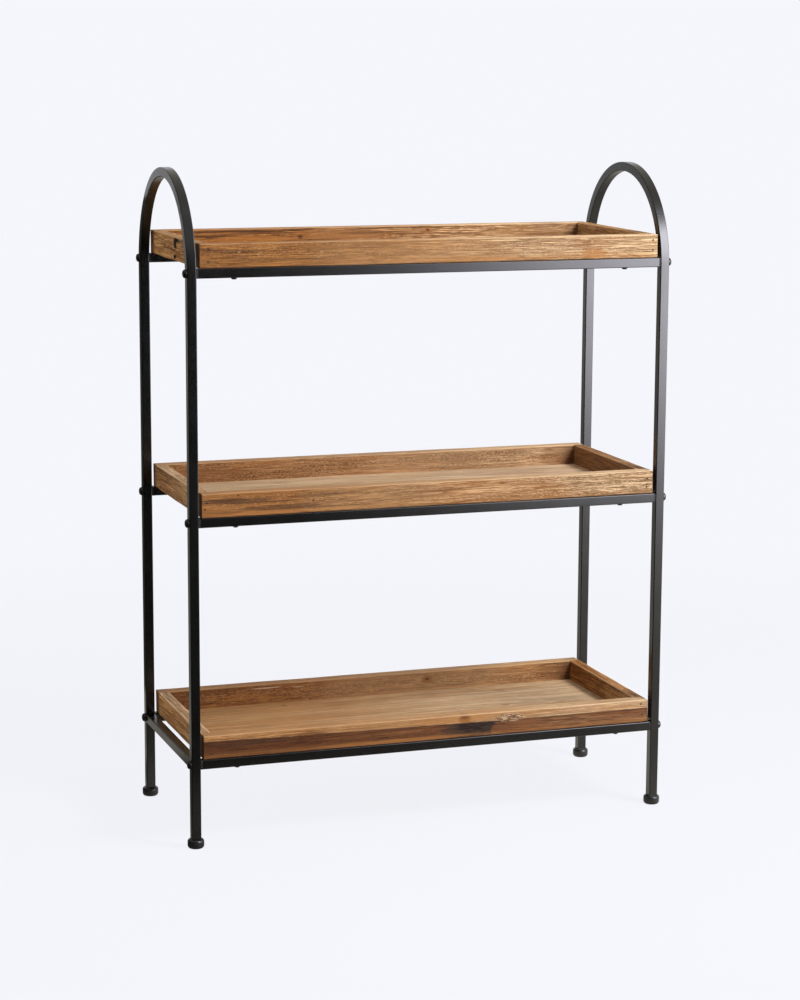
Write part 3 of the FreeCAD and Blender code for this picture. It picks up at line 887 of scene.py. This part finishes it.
class SHELVING_OT_frame_bolts(bpy.types.Operator):
    """Turn the twelve dome-headed bolts in the posts"""
    bl_idname = "shelving.frame_bolts"
    bl_label = "Frame bolts"

    def execute(self, context):
        coat = black_coat_finish("black_fastener", "bolt")
        for tier in TIERS:
            node = tier + "_frame_bolts"
            low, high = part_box(node)
            outer = POST_X + TUBE / 2
            head = bolt_head((high.z - low.z) / 2, high.x - outer)
            bm = bmesh.new()
            for sign in SIDES.values():
                for face in FACES.values():
                    seat = Vector((sign * outer, face * POST_Y, (low.z + high.z) / 2))
                    add_copy(bm, head, looking(X * sign, Z, seat))
            head.free()
            finish_piece(bm, node + "_heads", coat, node)
        return {"FINISHED"}


class SHELVING_OT_foot_caps(bpy.types.Operator):
    """Mould the four foot caps round the posts"""
    bl_idname = "shelving.foot_caps"
    bl_label = "Foot caps"

    def execute(self, context):
        plastic = cap_finish("foot_cap_plastic")
        for side, sign in SIDES.items():
            for face, turn in FACES.items():
                node = side + "_" + face + "_foot_cap"
                low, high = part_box(node)
                radius, height = (high.x - low.x) / 2, high.z
                toe, shoulder = sizes().cap_toe, sizes().cap_shoulder
                sole = Vector((radius - toe * TOE_LEAN, 0, 0))
                lip = Vector((radius - shoulder * SHOULDER_LEAN, 0, height))
                outline = [Vector((0, 0, 0)), sole]
                outline += quarter(sole, Vector((radius, 0, toe)))
                outline += reversed(quarter(lip, Vector((radius, 0, height - shoulder))))
                outline += [lip, Vector((0, 0, height))]
                bm = turned_shape(outline, CAP_TURNS)
                bmesh.ops.translate(bm, vec=(sign * POST_X, turn * POST_Y, 0), verts=bm.verts)
                finish_piece(bm, node + "_moulding", plastic, node)
        return {"FINISHED"}


def wandering(bm, amount, seed):
    """Moves a board's faces and edges a little off true, as on hand-finished wood."""
    along, across = 14, 30      # how often the wander changes in a metre
    noise.seed_set(seed)        # without it the noise differs each time the script is run
    for vert in bm.verts:
        spot = Vector((vert.co.x * along, vert.co.y * across, vert.co.z * across))
        spot += Vector((seed * 3.1, seed, -seed))
        vert.co += noise.noise_vector(spot) * amount


def nail_places(node, half):
    """Where the corner nails of a front or back board sit, from its middle."""
    tier = node.split("_")[0]
    return [(side * (half.x - inset), height - half.z)
            for side, places in zip(SIDES.values(), NAILS[tier]) for inset, height in places]


class SHELVING_OT_tray_boards(bpy.types.Operator):
    """Finish the twelve tray boards with their own grain"""
    bl_idname = "shelving.tray_boards"
    bl_label = "Tray boards"

    def execute(self, context):
        for seed, (node, grain) in enumerate(BOARDS.items(), 1):
            low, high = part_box(node)
            lengthwise = high.x - low.x > high.y - low.y
            along, reach = (X, high.x - low.x) if lengthwise else (Y, high.y - low.y)
            bm = bmesh.new()
            bm.from_mesh(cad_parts[node].data)
            bmesh.ops.remove_doubles(bm, verts=bm.verts, dist=LOOSE_PLACE)
            count = round(reach / BOARD_STEP)
            for cut in range(1, count):
                bmesh.ops.bisect_plane(bm, geom=bm.verts[:] + bm.edges[:] + bm.faces[:], dist=SAME_PLACE,
                                       plane_co=(low + high) / 2 + along * (reach * (cut / count - 0.5)),
                                       plane_no=along)
            wandering(bm, sizes().edge_wander, seed)
            turn, nails = (0.0, nail_places(node, (high - low) / 2)) if lengthwise else (math.pi / 2, ())
            wood = wood_finish(node + "_wood", low, high, turn, grain, seed, nails)
            finish_piece(bm, node + "_wood", wood, node, BOARD_SMOOTH)
        return {"FINISHED"}


def dress(node, material):
    """Gives a solid's own mesh a finish."""
    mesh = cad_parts[node].data
    mesh.materials.clear()
    mesh.materials.append(material)


class SHELVING_OT_bottom_panels(bpy.types.Operator):
    """Finish the three bottom panels"""
    bl_idname = "shelving.bottom_panels"
    bl_label = "Bottom panels"

    def execute(self, context):
        first_seed = 21             # so that no panel's grain repeats a board's
        for seed, (node, grain) in enumerate(PANELS.items(), first_seed):
            low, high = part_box(node)
            dress(node, wood_finish(node + "_wood", low, high, 0.0, grain, seed))
        return {"FINISHED"}


class SHELVING_OT_small_fasteners(bpy.types.Operator):
    """Finish the nails, pins and screws"""
    bl_idname = "shelving.small_fasteners"
    bl_label = "Nails, pins and screws"

    def execute(self, context):
        steel = steel_finish("nail_steel")
        black = black_coat_finish("black_fastener", "screw")
        for tier in TIERS:
            dress(tier + "_tray_corner_nails", steel)
            dress(tier + "_tray_panel_pins", steel)
            dress(tier + "_tray_screws", black)
        return {"FINISHED"}


# Stage

COOL, WARM = (0.98, 0.96, 1.05), (1.06, 1.0, 0.88)
AMBIENT = 0.23, 0.23, 0.23      # what lights the unit from all round

# Each lamp's place, target, width, height and brightness
LAMPS = {
    "key": ((1.05, -1.20, 1.72), (0.05, 0, 0.5), 0.6, 0.6, 37.0),
    "left": ((-2.6, -0.5, 1.3), (0, 0, 0.5), 1.4, 1.6, 2.3),
    "top": ((0.0, 0.2, 3.2), (0, 0, 0.4), 2.4, 2.0, 1.0),
}

# The camera as fitted to the photo: its lens and sensor in millimetres, place, and right, up and back axes
LENS, SENSOR, FARTHEST = 93.40, 36, 50
CAMERA_PLACE = -1.19944, -3.48083, 1.10025
CAMERA_AXES = (
    (0.9458909857, -0.3244479249, 0.0048772124),
    (0.0521810569, 0.1669285827, 0.9845872158),
    (-0.3202614252, -0.9310576740, 0.1748262772),
)

# The floor, and where round the unit it fades into the backdrop
FLOOR_RADIUS, FLOOR_FADE = 3.0, (0.7, 2.2)
FLOOR_GLOW_SHARE = 0.93         # how much of what is seen of it is its own plain glow

# The cards: the level ones' radius and heights, and the dome's radius, centre and angles, in degrees
CARD_RADIUS, FLOOR_CARD_HEIGHT, CEILING_HEIGHT = 5.5, 0.0004, 3.3
DOME_RADIUS, DOME_CENTRE, DOME_ANGLES = 2.7, 0.6, range(-13, 73, 5)
CARD_STEPS, FLAT_CARD_SIDES = 24, 64


def lamp(name, place, target, width, height, brightness):
    """A rectangular soft lamp that faces a target. It lights the unit, and shows in no reflection."""
    light = bpy.data.lights.new(name, "AREA")
    light.shape = "RECTANGLE"
    light.size = width
    light.size_y = height
    light.energy = brightness * math.pi * width * height
    back = (Vector(place) - Vector(target)).normalized()
    right = Z.cross(back).normalized()
    stand = bpy.data.objects.new(name, light)
    bpy.context.scene.collection.objects.link(stand)
    stand.matrix_world = placed(Vector(place), right, back.cross(right), back)
    stand.visible_camera = False
    stand.visible_glossy = False


def added(bm, name):
    """Puts a bmesh into the scene as an object."""
    mesh = bpy.data.meshes.new(name)
    bm.to_mesh(mesh)
    bm.free()
    card = bpy.data.objects.new(name, mesh)
    bpy.context.scene.collection.objects.link(card)
    return card


def flat_card(name, radius, height):
    """A round card laid level."""
    bm = bmesh.new()
    bmesh.ops.create_circle(bm, cap_ends=True, segments=FLAT_CARD_SIDES, radius=radius,
                            matrix=Matrix.Translation((0, 0, height)))
    return added(bm, name)


def curved_card(name, bearings, profile):
    """A card spun round the stage's upright axis, from an outline of distances and heights."""
    first, last = (math.radians(bearing) for bearing in bearings)
    bm = bmesh.new()
    verts = [bm.verts.new((math.sin(first) * reach, -math.cos(first) * reach, height))
             for reach, height in profile]
    edges = [bm.edges.new(pair) for pair in zip(verts, verts[1:])]
    bmesh.ops.spin(bm, geom=verts + edges, cent=(0, 0, 0), axis=(0, 0, 1), angle=last - first,
                   steps=CARD_STEPS, use_duplicate=False)
    return added(bm, name)


def rays_of_view(finish):
    """One where a ray of view, a reflection or a refraction meets the surface."""
    camera = finish.node("ShaderNodeLightPath", output="Is Camera Ray")
    rays = camera.socket.node.outputs
    glossy, through = Value(finish, rays["Is Glossy Ray"]), Value(finish, rays["Is Transmission Ray"])
    return camera.most(glossy).most(through)


def stage_floor(tint):
    """A pale floor that fades into the backdrop, so that no horizon shows."""
    floor = flat_card("floor", FLOOR_RADIUS, 0.0)
    finish = Finish(bpy.data.materials.new("floor_paper"))
    x, y = finish.parts(finish.place)[:2]
    fade = finish.between(distance(x, y), *FLOOR_FADE)
    lit = finish.node("ShaderNodeBsdfDiffuse", None, {"Color": tint})
    plain = finish.node("ShaderNodeEmission", None, {"Color": tint, "Strength": 1.0})
    glowing = rays_of_view(finish) * FLOOR_GLOW_SHARE
    paper = finish.node("ShaderNodeMixShader", None, {0: glowing, 1: lit, 2: plain})
    clear = finish.node("ShaderNodeBsdfTransparent")
    mixed = finish.node("ShaderNodeMixShader", None, {0: fade, 1: paper, 2: clear})
    finish.node("ShaderNodeOutputMaterial", None, {"Surface": mixed})
    floor.data.materials.append(finish.owner)


def backdrop(world, tint):
    """The backdrop that is seen, and an even, dimmer light from all round."""
    finish = Finish(world)
    seen = finish.tint(rays_of_view(finish), AMBIENT, tint)
    sky = finish.node("ShaderNodeBackground", None, {"Color": seen, "Strength": 1.0})
    finish.node("ShaderNodeOutputWorld", None, {"Surface": sky})


def floor_glow(finish):
    """What low reflections find on the floor: a wedge to the right front, the feet's surroundings and more
    behind, but little by the left feet."""
    x, y = finish.parts(finish.place)[:2]
    front, right = -0.14, 0.35      # the outer corner of the right front post
    ahead, aside = front - y, x - right
    in_front = finish.between(y, 0.05, -0.15)
    wedge = finish.between(aside / ahead.most(0.01), 0.07, 0.50) * in_front
    far_side = finish.between(distance(ahead, aside), 0.4, 2.7, 0.4, 1.4)
    by_left_feet = finish.between(x, -0.30, -0.40) * finish.between(y, 0.38, 0.26)
    shaded = 1 - by_left_feet * 0.9
    feet = finish.between(distance(x, y), 0.62, 0.42) * 0.30
    behind = (1 - in_front) * finish.between(x, -1.1, 0.0, 0.26, 0.48) * shaded
    near_right = in_front * finish.between(x, 0.0, 0.3) * finish.between(ahead, 1.1, 0.5) * 0.26
    return wedge * far_side + feet * shaded + behind + near_right + in_front * 0.02


def side_glow(finish):
    """The tall soft source at the right front: it fades to the left, downwards and overhead."""
    x, y, z = finish.parts(finish.place)
    bearing = finish.between(x / (-y).most(0.01), 0.25, 0.67)
    height = finish.between(z, -0.10, 0.58, 1.5, 11.5) * finish.between(z, 2.7, 1.95, 0.12, 1.0)
    bright_band = finish.between(z, 0.7, 1.3) * finish.between(z, 2.4, 1.9) * 4
    overhead = finish.between(z, 1.6, 2.4) * 0.5
    return bearing * (height + bright_band) + overhead


def back_glow(finish):
    """The low card behind, dimmer at its left end."""
    x = finish.parts(finish.place)[0]
    return finish.between(x, -1.9, -1.0, 0.24, 0.75)


def ceiling_glow(finish):
    """The ceiling, lighter to the right and towards the front."""
    x, y = finish.parts(finish.place)[:2]
    return finish.between(x, -0.4, 0.4, 0.42, 0.62) + finish.between(-y, 0.3, 1.6) * 0.2


def card_finish(name, tint, glow):
    """A card's own glow: one number, or a function that lays it over the card."""
    finish = Finish(bpy.data.materials.new(name))
    if callable(glow):
        tint = finish.node("ShaderNodeVectorMath", {"operation": "SCALE"}, {0: tint, "Scale": glow(finish)})
        glow = 1.0
    shining = finish.node("ShaderNodeEmission", None, {"Color": tint, "Strength": glow})
    finish.node("ShaderNodeOutputMaterial", None, {"Surface": shining})
    return finish.owner


def reflections_only(card, material):
    """Keeps a card out of everything but reflections."""
    card.data.materials.append(material)
    card.visible_camera = False
    card.visible_diffuse = False
    card.visible_shadow = False
    card.visible_transmission = False


def studio_cards():
    """Cards round the unit, seen only in reflections, as flags and reflectors are in a studio."""
    dome = [(DOME_RADIUS * math.cos(angle), DOME_CENTRE + DOME_RADIUS * math.sin(angle))
            for angle in map(math.radians, DOME_ANGLES)]
    for card, tint, glow in (
            (curved_card("front_card", (-152, 8), ((5.4, -0.4), (5.4, 3.3))), WARM, 0.0),
            (curved_card("side_card", (4, 54), dome), COOL, side_glow),
            (curved_card("back_card", (52, 208), ((4.6, -0.4), (4.6, 0.45))), WARM, back_glow),
            (curved_card("back_left_card", (199, 216), ((4.5, 0.4), (4.5, 1.4))), WARM, 0.2),
            (curved_card("flag", (226, 240), ((0.48, 0.12), (0.48, 0.87))), WARM, 0.05),
            (flat_card("floor_card", CARD_RADIUS, FLOOR_CARD_HEIGHT), WARM, floor_glow),
            (flat_card("ceiling_card", CARD_RADIUS, CEILING_HEIGHT), WARM, ceiling_glow)):
        reflections_only(card, card_finish(card.name, tint, glow))


class SHELVING_OT_stage(bpy.types.Operator):
    """Set the floor, backdrop, lamps and camera"""
    bl_idname = "shelving.stage"
    bl_label = "Stage"

    def execute(self, context):
        scene = context.scene
        scene.view_settings.view_transform = "Standard"
        stage_floor(colours().backdrop)
        studio_cards()
        scene.world = bpy.data.worlds.new("backdrop")
        backdrop(scene.world, colours().backdrop)
        for name, setting in LAMPS.items():
            lamp(name, *setting)
        view = bpy.data.cameras.new("camera")
        view.lens = LENS
        view.sensor_width = SENSOR
        view.clip_end = FARTHEST
        camera = bpy.data.objects.new("camera", view)
        scene.collection.objects.link(camera)
        camera.matrix_world = placed(CAMERA_PLACE, *CAMERA_AXES)
        scene.camera = camera
        return {"FINISHED"}


class SHELVING_PT_panel(bpy.types.Panel):
    """Sizes, colours and steps of the shelving unit"""
    bl_label = "Shelving unit"
    bl_idname = "SHELVING_PT_panel"
    bl_space_type = "VIEW_3D"
    bl_region_type = "UI"
    bl_category = "Shelving"

    def draw(self, context):
        for group in (context.scene.shelving_sizes, context.scene.shelving_colours):
            box = self.layout.box()
            for key in group.bl_rna.properties.keys():
                if key not in ("rna_type", "name"):
                    box.prop(group, key)
        for step in STEPS:
            self.layout.operator(step.bl_idname)


STEPS = (
    SHELVING_OT_side_frames,
    SHELVING_OT_crossbars,
    SHELVING_OT_rails,
    SHELVING_OT_rail_plugs,
    SHELVING_OT_frame_bolts,
    SHELVING_OT_foot_caps,
    SHELVING_OT_tray_boards,
    SHELVING_OT_bottom_panels,
    SHELVING_OT_small_fasteners,
    SHELVING_OT_stage,
)
CLASSES = (ShelvingSizes, ShelvingColours) + STEPS + (SHELVING_PT_panel,)


def register():
    for kind in CLASSES:
        bpy.utils.register_class(kind)
    bpy.types.Scene.shelving_sizes = PointerProperty(type=ShelvingSizes)
    bpy.types.Scene.shelving_colours = PointerProperty(type=ShelvingColours)


def unregister():
    del bpy.types.Scene.shelving_colours
    del bpy.types.Scene.shelving_sizes
    for kind in reversed(CLASSES):
        bpy.utils.unregister_class(kind)


def main():
    """Makes every piece and the stage."""
    register()
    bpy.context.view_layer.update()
    for step in STEPS:
        group, name = step.bl_idname.split(".")
        getattr(getattr(bpy.ops, group), name)()


if __name__ == "__main__":
    main()
